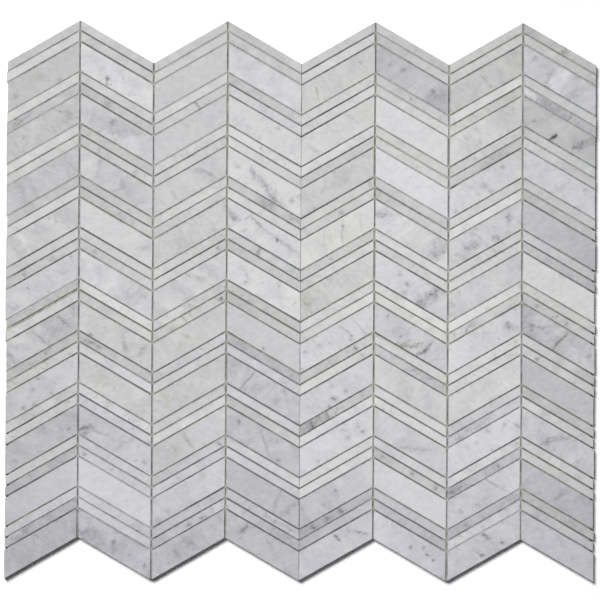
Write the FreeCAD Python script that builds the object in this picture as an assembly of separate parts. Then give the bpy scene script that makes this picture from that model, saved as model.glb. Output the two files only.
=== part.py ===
"""Chevron mosaic sheet: slanted marble field chips and pencil strips, laid in columns on a glass-fibre mesh.

The sheet lies on its back, in millimetres. +X runs across the columns, +Y runs up along them and +Z
points out of the polished face. The origin is the centre of the sheet's box, on the plane of its back.
"""

import FreeCAD
import Part
import math
import os

# Lay of the sheet
COLUMNS = 8
ROWS = 10
STRIPS_PER_ROW = 2
COLUMN_PITCH = 38.1
CHEVRON_ANGLE = 30.0
JOINT = 0.6

# Marble chips, their widths measured square to their long edges
FIELD_WIDTH = 12.85
STRIP_WIDTH = 4.25
STONE_THICKNESS = 9.5
ARRIS = 0.2

# Glass-fibre mesh on the back
YARN_PITCH = 5.0
YARN_WIDTH = 0.8
YARN_THICKNESS = 0.25
MESH_MARGIN = 1.5

# Worked out from the values above. PLUMB turns a width square to the slant into a length along the column.
SLOPE = math.tan(math.radians(CHEVRON_ANGLE))
PLUMB = 1 / math.cos(math.radians(CHEVRON_ANGLE))
ROW_LENGTH = (FIELD_WIDTH + JOINT + STRIPS_PER_ROW * (STRIP_WIDTH + JOINT)) * PLUMB
COLUMN_LENGTH = ROWS * ROW_LENGTH - JOINT * PLUMB
CHIP_RUN = COLUMN_PITCH - JOINT
SHEET_WIDTH = COLUMNS * COLUMN_PITCH - JOINT
SHEET_LENGTH = COLUMN_LENGTH + CHIP_RUN * SLOPE
MESH_THICKNESS = 2 * YARN_THICKNESS
SHORTEST_YARN = 2 * YARN_PITCH


def column_middle(column):
    """X of a column's centre line."""
    return (column - (COLUMNS - 1) / 2) * COLUMN_PITCH


def slant(column, x):
    """How far a column's slanted lines stand above their own middle at x: they climb and fall by turns."""
    lean = 1 if column % 2 == 0 else -1
    return lean * SLOPE * (x - column_middle(column))


def prism(outline, bottom, height):
    """Upright solid on a closed outline of (x, y) points."""
    points = [FreeCAD.Vector(x, y, bottom) for x, y in outline]
    face = Part.Face(Part.makePolygon(points + points[:1]))
    return face.extrude(FreeCAD.Vector(0, 0, height))


def chip(column, top, width):
    """One marble chip: a slanted bar with upright ends and a small arris round its polished face.

    top is the Y of its upper long edge at the middle of the column.
    """
    left = column_middle(column) - CHIP_RUN / 2
    right = left + CHIP_RUN
    bottom = top - width * PLUMB
    outline = [
        (left, bottom + slant(column, left)),
        (right, bottom + slant(column, right)),
        (right, top + slant(column, right)),
        (left, top + slant(column, left)),
    ]
    block = prism(outline, MESH_THICKNESS, STONE_THICKNESS)
    polished_face = max(block.Faces, key=lambda face: face.CenterOfMass.z)
    return block.makeChamfer(ARRIS, polished_face.Edges)


def lay_column(column):
    """The chips of one column from the top down: in each row the strips, then a field chip."""
    strips = []
    fields = []
    top = COLUMN_LENGTH / 2
    for _ in range(ROWS):
        for _ in range(STRIPS_PER_ROW):
            strips.append(chip(column, top, STRIP_WIDTH))
            top -= (STRIP_WIDTH + JOINT) * PLUMB
        fields.append(chip(column, top, FIELD_WIDTH))
        top -= (FIELD_WIDTH + JOINT) * PLUMB
    return strips, fields


def zigzag(middle, reach):
    """Chevron line from -reach to reach in x, at the height middle in the middle of each column."""
    corners = [(boundary - COLUMNS / 2) * COLUMN_PITCH for boundary in range(1, COLUMNS)]
    line = []
    for boundary, x in enumerate([-reach] + corners + [reach]):
        column = min(boundary, COLUMNS - 1)
        line.append((x, middle + slant(column, x)))
    return line


def mesh_outline():
    """Solid that the mesh is cut to, a margin inside the chips all round."""
    side = SHEET_WIDTH / 2 - MESH_MARGIN
    end = COLUMN_LENGTH / 2 - MESH_MARGIN * PLUMB
    outline = zigzag(-end, side) + zigzag(end, side)[::-1]
    return prism(outline, 0, MESH_THICKNESS)


def yarn_places(reach):
    """Places of yarns at their pitch, spread both ways from the middle of the sheet as far as reach."""
    count = int(reach / YARN_PITCH)
    return [step * YARN_PITCH for step in range(-count, count + 1)]


def cut_to_outline(yarns, outline):
    """Yarns cut off at the mesh outline, without cut-offs too short to be held at two crossings."""
    pieces = Part.makeCompound(yarns).common(outline).Solids
    return [piece for piece in pieces if piece.BoundBox.DiagonalLength > SHORTEST_YARN]


def lay_mesh():
    """The laid mesh: weft yarns across the sheet underneath, warp yarns along it against the chips."""
    outline = mesh_outline()
    box = outline.BoundBox
    weft = []
    for y in yarn_places(box.YMax):
        corner = FreeCAD.Vector(box.XMin, y - YARN_WIDTH / 2, 0)
        weft.append(Part.makeBox(box.XLength, YARN_WIDTH, YARN_THICKNESS, corner))
    warp = []
    for x in yarn_places(box.XMax):
        corner = FreeCAD.Vector(x - YARN_WIDTH / 2, box.YMin, YARN_THICKNESS)
        warp.append(Part.makeBox(YARN_WIDTH, box.YLength, YARN_THICKNESS, corner))
    return cut_to_outline(weft, outline), cut_to_outline(warp, outline)


def export(node, solids):
    """Writes the solids of one node and prints how many there are and what they hold."""
    shape = Part.makeCompound(solids)
    shape.exportStep(f"parts/{node}.step")
    print(f"{node}: {len(solids)} solids, {shape.Volume / 1000:.2f} cm3")


def main():
    os.makedirs("parts", exist_ok=True)
    for column in range(COLUMNS):
        strips, fields = lay_column(column)
        export(f"column_{column + 1}_strip_chips", strips)
        export(f"column_{column + 1}_field_chips", fields)
    weft, warp = lay_mesh()
    export("mesh_weft_yarns", weft)
    export("mesh_warp_yarns", warp)
    print(f"sheet {SHEET_WIDTH:.2f} x {SHEET_LENGTH:.2f} x {MESH_THICKNESS + STONE_THICKNESS:.2f} mm")


main()
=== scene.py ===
"""Looks of a chevron mosaic sheet: honed marble chips laid by hand, the adhesive that shows in their joints
and the woven mesh behind them. In metres, in the frame of the solids: +Y runs up the columns and +Z points
out of the honed face."""

import math
from dataclasses import dataclass

import bmesh
import bpy
import numpy as np
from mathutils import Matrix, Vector


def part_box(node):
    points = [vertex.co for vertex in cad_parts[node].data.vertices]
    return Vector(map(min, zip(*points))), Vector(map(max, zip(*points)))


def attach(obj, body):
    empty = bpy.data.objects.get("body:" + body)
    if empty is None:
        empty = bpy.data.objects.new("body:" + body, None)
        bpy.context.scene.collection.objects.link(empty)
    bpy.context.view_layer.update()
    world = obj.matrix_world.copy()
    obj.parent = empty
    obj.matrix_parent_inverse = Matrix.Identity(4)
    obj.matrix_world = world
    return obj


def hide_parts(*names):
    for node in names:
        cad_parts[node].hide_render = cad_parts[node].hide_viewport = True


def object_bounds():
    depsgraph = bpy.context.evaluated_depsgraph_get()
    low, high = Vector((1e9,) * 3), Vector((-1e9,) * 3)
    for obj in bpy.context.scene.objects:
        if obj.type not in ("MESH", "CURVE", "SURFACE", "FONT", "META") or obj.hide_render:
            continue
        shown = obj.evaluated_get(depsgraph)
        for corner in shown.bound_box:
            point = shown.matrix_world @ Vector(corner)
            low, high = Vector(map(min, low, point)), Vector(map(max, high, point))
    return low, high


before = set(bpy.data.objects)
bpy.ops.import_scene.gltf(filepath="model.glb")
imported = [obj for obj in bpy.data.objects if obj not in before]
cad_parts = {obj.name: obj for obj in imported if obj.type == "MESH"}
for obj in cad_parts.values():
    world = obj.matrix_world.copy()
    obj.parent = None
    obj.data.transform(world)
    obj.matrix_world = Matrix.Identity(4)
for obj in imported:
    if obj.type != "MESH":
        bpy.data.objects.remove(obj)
cad_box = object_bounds()

MM = 0.001
BODY = "root"
COLUMNS = 8
ROWS = 10
LEFT_OF_MIDDLE = COLUMNS // 2
RIGHT_OF_MIDDLE = LEFT_OF_MIDDLE + 1
KINDS = ("field", "upper_strip", "lower_strip")
WELD = 0.001 * MM
SHARP_EDGE = math.radians(40)

# One seed for all random draws, with a number for each job, so that no job changes the draws of another
SEED = 4127
LAYING, CUTTING, SHADE, LOOK, BEDDING, SLAB = range(6)
SLANTED_BEADS, UPRIGHT_BEADS, YARNS = range(11, 14)

# Saw cuts and the eased arris round each honed face
EDGE_STEP = 1.2 * MM
SAW_WANDER = 0.015 * MM
SAW_WANDER_STEPS = 4
ARRIS = 0.14 * MM
ARRIS_ANGLES = [math.radians(degrees) for degrees in (0, 30, 60, 90)]
ARRIS_WEAR = 0.35
ARRIS_WEAR_STEPS = 1
LEAST_WEAR = 0.4
BRUISED_EDGE = 0.5 * MM
CORNER_WEAR = 0.12 * MM
NICKS_PER_CHIP = 2.5
NICK_DEPTH = 0.22 * MM

# Bedding of the stone, by its lean from the square to a chip's long edges, with the slab in millimetres
BEDDING_LEAN = math.radians(28)
BEDDING_SCATTER = math.radians(9)
HALF_SLAB = 400
SPOT_STRETCH = 0.2

# How far hand laying leaves a chip from its place, and how far under size it is sawn
LAY_SHIFT = 0.04 * MM
LAY_TURN = math.radians(0.06)
LAY_TILT = 0.0012
LIPPAGE = 0.08 * MM
END_SCATTER = 0.06 * MM
SIDE_SCATTER = 0.7 * MM
UNDER_WIDTH = 0.075 * MM
UNDER_LENGTH = 0.12 * MM
CENTRE_CLOSING = 0.295 * MM
CENTRE_SLACK = 0.1

# Adhesive in the joints: levels are depths under the honed face, by how far a joint is filled
BEAD_STEP = 0.9 * MM
BEAD_LAP = 0.07 * MM
BEAD_MENISCUS = 0.25 * MM
BEAD_ROUGHNESS = 0.16 * MM
BEAD_SWELL = 0.11
BEAD_SWELL_LENGTH = 5.0 * MM
SHALLOWEST_BEAD = 0.3 * MM
DOT_CREST = (0.3 * MM, 0.9 * MM)
DOT_REACH = 0.9 * MM
OPEN_END = 2.0 * MM
WIPED_END = 3.2 * MM
EVEN_COLUMN_LEVELS = {
    "pressed_up": (0.8 * MM, 1.5 * MM),
    "half_up": (1.45 * MM, 1.95 * MM),
    "low": (1.6 * MM, 2.7 * MM),
}
ODD_COLUMN_LEVELS = {
    "pressed_up": (0.6 * MM, 1.3 * MM),
    "half_up": (1.1 * MM, 1.4 * MM),
    "low": (1.2 * MM, 1.85 * MM),
}
UPRIGHT_LEVELS = (1.7 * MM, 2.15 * MM)

# Warmth of the adhesive, from 0 for slate to 1 for olive
PLAIN_WARMTH = 0.4
WARMTH_SCATTER = 0.1
DOT_WARMTH = 0.5
UPRIGHT_WARMTH_WANDER = 0.15
UPRIGHT_WANDER_STEPS = 30

# Woven yarns of the mesh
YARN_SIDES = 8
WEAVE_SHARE = 0.44
YARN_WANDER = 0.06 * MM
YARN_WANDER_STEPS = 4

# Camera over the sheet, its aim given on the honed face
CAMERA_HEIGHT = 8000 * MM
HALF_VIEW = 154.8 * MM
AIM_X = -0.2 * MM
AIM_Y = 0.6 * MM
CAMERA_ROLL = math.radians(0.33)
SENSOR_WIDTH = 36.0

# Floor, and light: a soft lamp nearly overhead, from the upper left, and a weak even sky
HALF_FLOOR = 3.0
SHADOW_PER_HEIGHT = (0.14, -0.20)
LAMP_LEVEL = 0.95
SKY_LEVEL = 0.06
LAMP_SPREAD = math.radians(11.5)

# Colours of the stone, clear and smoky, of the adhesive, with painted shade on its colours low in a joint,
# of yarns dry and soaked with it, each as painted lit and shaded copies, and of the floor
CREAM_STONE = (0.632, 0.636, 0.626, 1)
LILAC_STONE = (0.638, 0.636, 0.683, 1)
CREAM_SMOKE = (0.207, 0.210, 0.209, 1)
LILAC_SMOKE = (0.213, 0.210, 0.236, 1)
OCHRE_STAIN = (0.99, 0.96, 0.82, 1)
# Adhesive low in a joint: darker copies of the colours near the face, as painted shade
SHADED_DEEP_SLATE = (0.190, 0.206, 0.224, 1)
SHADED_DEEP_OLIVE = (0.214, 0.212, 0.166, 1)
NEAR_FACE_SLATE = (0.41, 0.435, 0.44, 1)
NEAR_FACE_OLIVE = (0.45, 0.445, 0.38, 1)
DRY_YARN_SHADED = (0.50, 0.49, 0.44, 1)
DRY_YARN_LIT = (0.80, 0.79, 0.74, 1)
SOAKED_YARN_SHADED = (0.34, 0.30, 0.20, 1)
SOAKED_YARN_LIT = (0.56, 0.52, 0.40, 1)
FLOOR_SEEN = (1.0, 1.0, 1.0, 1)
FLOOR_THROWN_BACK = (0.80, 0.80, 0.80, 1)

# Look of a chip's stone in shares, and how much the chips named below differ from it
SHADE_SCATTER = 0.015
PLAIN_SHADE_SCATTER = 0.03
# Painted shade: chips that aren't named are darkened at the sheet's sides and in its lower rows, where the
# light falls off
OUTER_PAINTED_SHADE = 0.04
LOW_PAINTED_SHADE = 0.05
LOW_PAINTED_SHADE_ROW = 7
END_DARKENING = 0.18
FIELD_LILAC = 0.37
FIELD_LILAC_LOW = 0.42
FIELD_LILAC_ROW = 5
STRIP_LILAC = 0.20
STRIP_LILAC_LOW = 0.45
STRIP_LILAC_ROW = 6
LILAC_SCATTER = 0.06
MORE_LILAC = 0.22
MORE_CREAM = 0.25
STREAKS = (0.25, 0.65)
CLOUD = (0.6, 1.1)
STREAKED = 1.2
CLOUDY = 1.4
EVEN_STREAKS = 0.2
EVEN_CLOUD = 0.45
FLECKS = 0.08
FLECK_SCATTER = 0.15


# Stone of single chips, by column and row. Chips that aren't named are about a middle grey, with painted
# shade low down and at the sides.
SHADES = {
    "bright": -0.03, "white": 0.03, "pale": 0.11, "grey": 0.22, "dull": 0.33, "dark": 0.44, "smoky": 0.55,
}
FIELD_SHADES = {
    "bright": [(6, 3)],
    "white": [(6, 2), (4, 3), (5, 4), (4, 5)],
    "pale": [
        (2, 1), (4, 1), (4, 2), (5, 2), (7, 3), (2, 4), (4, 4), (6, 4), (2, 5), (6, 5), (8, 5), (5, 6),
        (7, 6), (7, 7), (5, 8), (7, 8), (2, 9), (6, 9),
    ],
    "grey": [(8, 3)],
    "dull": [
        (1, 1), (7, 1), (8, 1), (1, 2), (1, 3), (1, 6), (1, 7), (4, 7), (2, 8), (8, 8), (1, 9), (5, 9),
        (7, 10),
    ],
    "dark": [
        (6, 1), (8, 2), (8, 4), (8, 6), (8, 7), (1, 8), (4, 8), (4, 9), (2, 10), (3, 10), (4, 10), (8, 10),
    ],
    "smoky": [(8, 9), (1, 10)],
}
UPPER_STRIP_SHADES = {
    "bright": [(2, 6)],
    "white": [(4, 3), (5, 3), (6, 6), (7, 6)],
    "pale": [
        (1, 2), (3, 2), (5, 2), (7, 2), (1, 3), (3, 3), (3, 4), (5, 4), (6, 5), (5, 6), (7, 7), (2, 8),
        (6, 8), (5, 9), (7, 9),
    ],
    "dull": [
        (1, 1), (4, 1), (6, 1), (7, 1), (4, 2), (2, 3), (8, 3), (1, 4), (2, 4), (4, 4), (8, 4), (8, 5),
        (4, 6), (2, 7), (5, 7), (8, 7), (5, 8), (3, 9), (4, 10), (6, 10),
    ],
    "dark": [(8, 1), (1, 6), (1, 7), (4, 7), (8, 8), (3, 10), (7, 10)],
    "smoky": [(5, 10), (8, 10)],
}
LOWER_STRIP_SHADES = {
    "white": [(7, 4), (5, 8)],
    "pale": [
        (1, 1), (5, 1), (5, 2), (6, 2), (4, 3), (6, 3), (1, 4), (4, 4), (5, 5), (7, 5), (5, 6), (6, 6),
        (2, 7), (5, 7), (7, 7), (3, 8), (6, 8), (5, 9),
    ],
    "grey": [(8, 8)],
    "dull": [
        (6, 1), (8, 1), (1, 2), (2, 2), (7, 3), (8, 3), (2, 4), (1, 5), (4, 5), (4, 6), (6, 7), (4, 8),
        (6, 9), (3, 10),
    ],
    "dark": [(8, 2), (8, 4), (8, 5), (7, 9), (4, 10), (5, 10), (6, 10), (8, 10)],
    "smoky": [(1, 9), (1, 10)],
}
CHIP_SHADES = {"field": FIELD_SHADES, "upper_strip": UPPER_STRIP_SHADES, "lower_strip": LOWER_STRIP_SHADES}

# Chips that are more lilac or more cream than the rest, or darker at one end
LILAC_CHIPS = {
    "field": [
        (6, 1), (8, 1), (2, 2), (6, 3), (8, 3), (7, 4), (8, 4), (6, 5), (6, 6), (7, 6), (8, 6), (4, 7),
        (5, 7), (2, 8), (8, 9), (2, 10), (6, 10), (8, 10),
    ],
    "upper_strip": [(8, 3), (1, 4), (8, 4), (8, 5), (3, 7), (4, 7), (8, 7), (4, 10)],
    "lower_strip": [
        (4, 1), (1, 2), (2, 2), (4, 2), (8, 2), (2, 5), (3, 5), (8, 5), (4, 6), (8, 6), (2, 7), (4, 7),
        (6, 7), (3, 9),
    ],
}
CREAM_CHIPS = {
    "field": [
        (1, 1), (5, 1), (7, 1), (1, 2), (5, 2), (5, 3), (5, 4), (5, 5), (8, 5), (2, 6), (3, 6), (2, 7),
        (3, 7), (6, 7), (7, 7), (3, 8), (6, 9),
    ],
    "upper_strip": [
        (6, 1), (7, 1), (8, 1), (1, 2), (2, 3), (6, 3), (3, 4), (5, 4), (3, 5), (4, 6), (6, 6), (8, 6),
        (6, 7), (7, 7), (5, 9), (7, 9), (8, 10),
    ],
    "lower_strip": [
        (8, 1), (3, 2), (6, 2), (1, 3), (3, 3), (6, 3), (8, 4), (6, 5), (2, 6), (5, 6), (6, 6), (1, 7),
        (5, 7), (4, 8), (5, 9), (7, 10),
    ],
}
DARKER_RIGHT = {
    "field": [(7, 2), (7, 3), (8, 4), (6, 5), (7, 5), (7, 6), (8, 9), (6, 10)],
    "upper_strip": [
        (5, 1), (6, 1), (4, 3), (3, 5), (6, 5), (7, 5), (8, 5), (3, 6), (7, 6), (8, 7), (2, 10),
    ],
    "lower_strip": [
        (8, 1), (7, 2), (8, 2), (3, 3), (4, 3), (7, 3), (8, 3), (3, 5), (8, 5), (7, 6), (5, 7), (6, 7),
        (8, 7), (8, 8), (4, 9), (8, 9), (1, 10), (2, 10), (4, 10), (6, 10),
    ],
}
DARKER_LEFT = {
    "field": [(5, 5), (8, 6), (1, 7), (2, 8), (3, 8), (1, 9), (3, 9), (5, 9), (7, 9)],
    "upper_strip": [
        (4, 1), (4, 2), (2, 4), (1, 5), (3, 7), (5, 7), (5, 8), (7, 8), (3, 9), (4, 9), (1, 10), (4, 10),
        (5, 10), (7, 10),
    ],
    "lower_strip": [
        (6, 1), (4, 2), (6, 2), (2, 3), (6, 3), (2, 4), (3, 4), (6, 4), (1, 5), (2, 5), (4, 5), (2, 6),
        (4, 6), (5, 6), (1, 7), (2, 7), (4, 8), (7, 8), (6, 9), (7, 9), (3, 10), (5, 10),
    ],
}

# Field chips by how their bedding shows
STREAKED_FIELDS = [(6, 1), (8, 1), (2, 3), (1, 4), (6, 4), (3, 5), (1, 6), (1, 8)]
CLOUDY_FIELDS = [(7, 4), (8, 6), (4, 7), (2, 10)]
EVEN_FIELDS = [
    (1, 1), (3, 1), (3, 2), (6, 2), (6, 3), (2, 4), (8, 4), (8, 5), (4, 6), (8, 7), (1, 9), (2, 9), (4, 9),
    (6, 9), (8, 10),
]


def spot(along, down, size, depth):
    """A blurred spot on a chip, size in mm, placed by shares of its run and width from its upper left."""
    return along, down, along, down, size, depth


def stroke(along, down, to_along, to_down, width, depth):
    """A blurred stroke from one place to another, width in mm, paler than the stone if depth is under 0."""
    return along, down, to_along, to_down, width, depth


# Smoke, veins and pale bands that stand out on single chips
FIELD_SMOKE = {
    (1, 1): [spot(0.11, 0.61, 2.4, 0.35), spot(0.71, 0.90, 2.5, 0.25), spot(0.43, 0.42, 6, 0.12)],
    (1, 2): [stroke(0.72, 0.07, 0.92, 0.67, 4, 0.28), stroke(0.52, 0.05, 0.66, 0.85, 2, 0.14)],
    (1, 3): [
        stroke(0.14, 0.12, 0.30, 0.90, 5, 0.22), stroke(0.30, 0.10, 0.42, 0.90, 2.5, 0.18),
        spot(0.88, 0.82, 3, 0.18),
    ],
    (1, 4): [
        spot(0.59, 0.11, 2.2, 0.38), spot(0.69, 0.37, 1.5, 0.32),
        stroke(0.17, 0.02, 0.34, 0.98, 3.2, -0.27), stroke(0.08, 0.40, 0.22, 0.90, 4, 0.18),
    ],
    (1, 5): [
        spot(0.77, 0.47, 2.4, 0.32), spot(0.32, 0.35, 2, 0.26), spot(0.13, 0.78, 3.5, 0.25),
        spot(0.90, 0.10, 1.6, 0.3),
    ],
    (1, 6): [
        stroke(0.72, 0.09, 0.86, 0.70, 2.6, 0.4), stroke(0.64, 0.20, 0.78, 0.90, 5, 0.16),
        stroke(0.37, 0.15, 0.57, 0.88, 1.3, 0.28), stroke(0, 0.36, 0.07, 0.58, 1.3, 0.36),
    ],
    (1, 7): [
        spot(0.37, 0.38, 2, 0.42), spot(0.45, 0.08, 1.6, 0.32), spot(0.25, 0.84, 2.2, 0.48),
        spot(0.40, 0.90, 1.6, 0.36), spot(0.62, 0.87, 1.6, 0.3),
    ],
    (1, 8): [
        spot(0.53, 0.13, 1.6, 0.3), spot(0.78, 0.52, 1.9, 0.3), spot(0.88, 0.66, 1.9, 0.3),
        spot(0.12, 0.69, 2.2, 0.2),
    ],
    (2, 1): [
        spot(0.37, 0.71, 2, 0.9), spot(0.36, 0.90, 1.6, 0.7), spot(0.42, 0.86, 1.1, 0.4),
        spot(0.59, 0.41, 1.4, 0.35), spot(0.29, 0.45, 4, 0.22), spot(0.68, 0.75, 2.6, 0.2),
    ],
    (2, 2): [
        stroke(0.20, 0.38, 0.62, 0.28, 7, 0.26), spot(0.44, 0.31, 3.5, 0.22),
        stroke(0.30, 0.75, 0.90, 0.15, 4, 0.16), spot(0.79, 0.22, 4.5, 0.16), spot(0.70, 0.80, 8, -0.12),
    ],
    (2, 3): [
        stroke(0.20, 0.75, 0.30, 0.10, 3.5, 0.25), stroke(0.50, 0.72, 0.65, 0.25, 6, 0.22),
        spot(0.60, 0.48, 2.2, 0.22), spot(0.06, 0.50, 6, -0.2),
    ],
    (2, 4): [stroke(0.81, 0.65, 0.94, 0.28, 3.8, 0.3)],
    (2, 5): [
        stroke(0.64, 0.80, 0.86, 0.30, 8, 0.22), stroke(0.80, 0.70, 0.90, 0.30, 2.5, 0.18),
        stroke(0.21, 0.60, 0.33, 0.20, 2, 0.12), spot(0.40, 0.50, 9, -0.1),
    ],
    (2, 6): [
        stroke(0.63, 0.45, 0.64, 0.82, 2.2, 0.45), stroke(0.78, 0.82, 0.94, 0.15, 2.3, 0.4),
        spot(0.15, 0.93, 2, 0.6),
    ],
    (2, 8): [
        stroke(0.01, 0.83, 0.20, 0.46, 2.6, 0.62), stroke(0.05, 0.95, 0.13, 0.78, 1.6, 0.4),
        stroke(0.19, 0.62, 0.41, 0.44, 1.4, 0.36), stroke(0.56, 0.63, 0.76, 0.13, 3, 0.32),
        spot(0.91, 0.67, 1.8, 0.5), spot(0.79, 0.80, 1.6, 0.42),
    ],
    (2, 9): [spot(0.67, 0.56, 1.6, 0.2), stroke(0.46, 0.85, 0.56, 0.25, 1.6, 0.15)],
    (2, 10): [
        spot(0.50, 0.45, 2, 0.65), spot(0.91, 0.61, 2.2, 0.55), spot(0.08, 0.78, 5, 0.4),
        spot(0.18, 0.50, 6, 0.24), spot(0.48, 0.72, 4, 0.28), spot(0.30, 0.80, 5, 0.2),
    ],
    (3, 3): [
        stroke(0.62, 0.28, 0.85, 0.82, 3.2, 0.32), stroke(0.24, 0.45, 0.30, 0.75, 2, 0.22),
        spot(0.66, 0.95, 1.6, 0.32),
    ],
    (3, 4): [spot(0.83, 0.85, 3, 0.28)],
    (3, 5): [stroke(0.47, 0.10, 0.70, 0.60, 1.7, 0.26), spot(0.96, 0.20, 2, 0.26)],
    (3, 6): [spot(0.46, 0.40, 1.4, 0.16)],
    (3, 8): [stroke(0.43, 0.20, 0.56, 0.90, 1.7, 0.26)],
    (3, 10): [
        stroke(0.40, 0.10, 0.58, 0.75, 5, 0.28), stroke(0.30, 0.35, 0.36, 0.72, 2.4, 0.22),
        spot(0.94, 0.20, 3, 0.2),
    ],
    (4, 1): [stroke(0.22, 0.70, 0.33, 0.30, 3, 0.14)],
    (4, 2): [
        spot(0.68, 0.13, 1.9, 0.36), spot(0.47, 0.13, 1.8, 0.22), spot(0.58, 0.40, 1.6, 0.2),
        spot(0.27, 0.71, 1.9, 0.22), spot(0.44, 0.85, 2, 0.2),
    ],
    (4, 3): [
        stroke(0.38, 0.42, 0.62, 0.80, 3.2, 0.5), stroke(0.62, 0.79, 0.78, 0.97, 2.6, 0.5),
        stroke(0.31, 0.22, 0.35, 0.55, 2, 0.4), spot(0.87, 0.58, 2.4, 0.55), spot(0.14, 0.49, 2.2, 0.3),
        spot(0.98, 0.28, 2.4, 0.35),
    ],
    (4, 4): [
        stroke(0.31, 0.09, 0.47, 0.30, 2.1, 0.55), stroke(0.47, 0.30, 0.99, 0.54, 1.7, 0.4),
        spot(0.69, 0.45, 1.9, 0.9), stroke(0.01, 0.45, 0.14, 0.50, 3, 0.55), spot(0.22, 0.80, 3, 0.3),
        spot(0.25, 0.30, 1.6, 0.25),
    ],
    (4, 5): [
        stroke(0.20, 0.25, 0.30, 0.55, 2, 0.32), spot(0.71, 0.14, 1.8, 0.45), spot(0.93, 0.50, 2.2, 0.32),
        spot(0.25, 0.75, 2, 0.35), spot(0.48, 0.41, 1.6, 0.3), spot(0.83, 0.80, 1.6, 0.3),
    ],
    (4, 6): [spot(0.50, 0.88, 1.5, 0.7)],
    (4, 7): [
        stroke(0.19, 0.92, 0.36, 0.13, 1.1, 0.45), spot(0.67, 0.65, 4, 0.35), spot(0.56, 0.25, 3, 0.22),
        spot(0.79, 0.16, 1.6, 0.3),
    ],
    (4, 8): [
        spot(0.17, 0.29, 2.1, 0.5), stroke(0.47, 0.20, 0.58, 0.85, 1.4, 0.32), spot(0.71, 0.85, 2.1, 0.45),
    ],
    (4, 9): [
        stroke(0.66, 0.85, 0.74, 0.05, 1.8, 0.26), stroke(0.78, 0.86, 0.98, 0.10, 2.6, 0.28),
        spot(0.79, 0.34, 1.2, 0.18),
    ],
    (4, 10): [stroke(0.22, 0.41, 0.28, 0.16, 2.2, 0.8), stroke(0.55, 0.20, 0.66, 0.40, 1, 0.25)],
    (5, 1): [
        stroke(0.20, 0.35, 0.21, 0.75, 1.2, 0.26), spot(0.32, 0.90, 1.6, 0.26), spot(0.80, 0.35, 1.8, 0.25),
    ],
    (5, 2): [stroke(0.05, 0.28, 0.24, 0.90, 1.4, 0.3), stroke(0.65, 0.14, 0.77, 0.58, 1.7, 0.26)],
    (5, 3): [
        spot(0.50, 0.45, 5, 0.1), stroke(0.28, 0.45, 0.44, 0.48, 3, 0.16), spot(0.63, 0.48, 4, 0.12),
        spot(0.18, 0.92, 2, 0.3),
    ],
    (5, 4): [
        stroke(0.58, 0.08, 0.56, 0.90, 1.2, 0.32), spot(0.57, 0.29, 1.7, 0.35),
        stroke(0.31, 0.05, 0.32, 0.70, 1, 0.18), stroke(0.79, 0.10, 0.84, 0.90, 1.2, 0.15),
    ],
    (5, 6): [
        spot(0.27, 0.43, 1.6, 0.4), stroke(0.55, 0.15, 0.64, 0.48, 1.4, 0.45),
        stroke(0.64, 0.48, 0.75, 0.93, 0.9, 0.28), stroke(0.72, 0.20, 0.90, 0.93, 1.2, 0.36),
        spot(0.03, 0.88, 1.2, 0.6),
    ],
    (5, 7): [
        spot(0.47, 0.72, 2.4, 0.75), spot(0.63, 0.71, 2.1, 0.5), spot(0.40, 0.95, 1.6, 0.6),
        spot(0.11, 0.53, 4, 0.2), spot(0.43, 0.28, 2, 0.2),
    ],
    (5, 8): [
        spot(0.85, 0.67, 1.8, 0.7), spot(0.66, 0.60, 1.7, 0.5), spot(0.80, 0.39, 2.5, 0.3),
        spot(0.58, 0.20, 2, 0.3), spot(0.26, 0.80, 2, 0.3),
    ],
    (5, 9): [spot(0.50, 0.35, 2.2, 0.42), spot(0.33, 0.65, 1.7, 0.42), spot(0.04, 0.34, 1.6, 0.3)],
    (5, 10): [
        stroke(0.49, 0.19, 0.54, 0.35, 1.9, 0.66), stroke(0.79, 0.44, 0.90, 0.69, 1.3, 0.5),
        spot(0.69, 0.20, 3, 0.2),
    ],
    (6, 1): [
        spot(0.79, 0.51, 1.9, 0.6), spot(0.37, 0.37, 2.2, 0.3), spot(0.19, 0.45, 2, 0.3),
        stroke(0.73, 0.93, 0.90, 0.35, 5.5, 0.2), stroke(0.48, 0.93, 0.61, 0.31, 2.5, -0.25),
    ],
    (6, 4): [
        stroke(0.03, 0.50, 0.22, 0.12, 3.4, 0.55), stroke(0.72, 0.90, 0.95, 0.10, 6.5, 0.32),
        spot(0.82, 0.70, 3, 0.35), spot(0.92, 0.48, 2.4, 0.4), spot(0.40, 0.50, 8, -0.1),
    ],
    (6, 5): [
        spot(0.44, 0.50, 2, 0.75), spot(0.34, 0.30, 2, 0.5), stroke(0.62, 0.95, 0.84, 0.20, 7, 0.34),
        stroke(0.60, 0.95, 0.71, 0.68, 3.4, 0.42), spot(0.41, 0.87, 2.4, 0.3),
        stroke(0.75, 0.42, 0.92, 0.08, 3.2, 0.5),
    ],
    (6, 6): [
        stroke(0.69, 0.70, 0.79, 0.22, 1.5, 0.75), stroke(0.57, 0.97, 0.69, 0.70, 1.2, 0.5),
        spot(0.36, 0.55, 7, 0.14), stroke(0.32, 0.96, 0.50, 0.74, 2.2, 0.35),
        stroke(0.50, 0.74, 0.66, 0.50, 2, 0.3),
    ],
    (6, 7): [
        spot(0.48, 0.75, 2.2, 0.18), stroke(0.43, 0.10, 0.45, 0.90, 5, 0.13),
        stroke(0.75, 0.15, 0.74, 0.90, 3, 0.14),
    ],
    (6, 8): [stroke(0.41, 0.85, 0.76, 0.38, 2.6, 0.36), spot(0.74, 0.80, 1.4, 0.22)],
    (6, 10): [
        spot(0.52, 0.52, 1.7, 0.6), spot(0.70, 0.31, 1.6, 0.6), spot(0.74, 0.46, 1.5, 0.6),
        spot(0.83, 0.53, 1.6, 0.6),
    ],
    (7, 1): [
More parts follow.
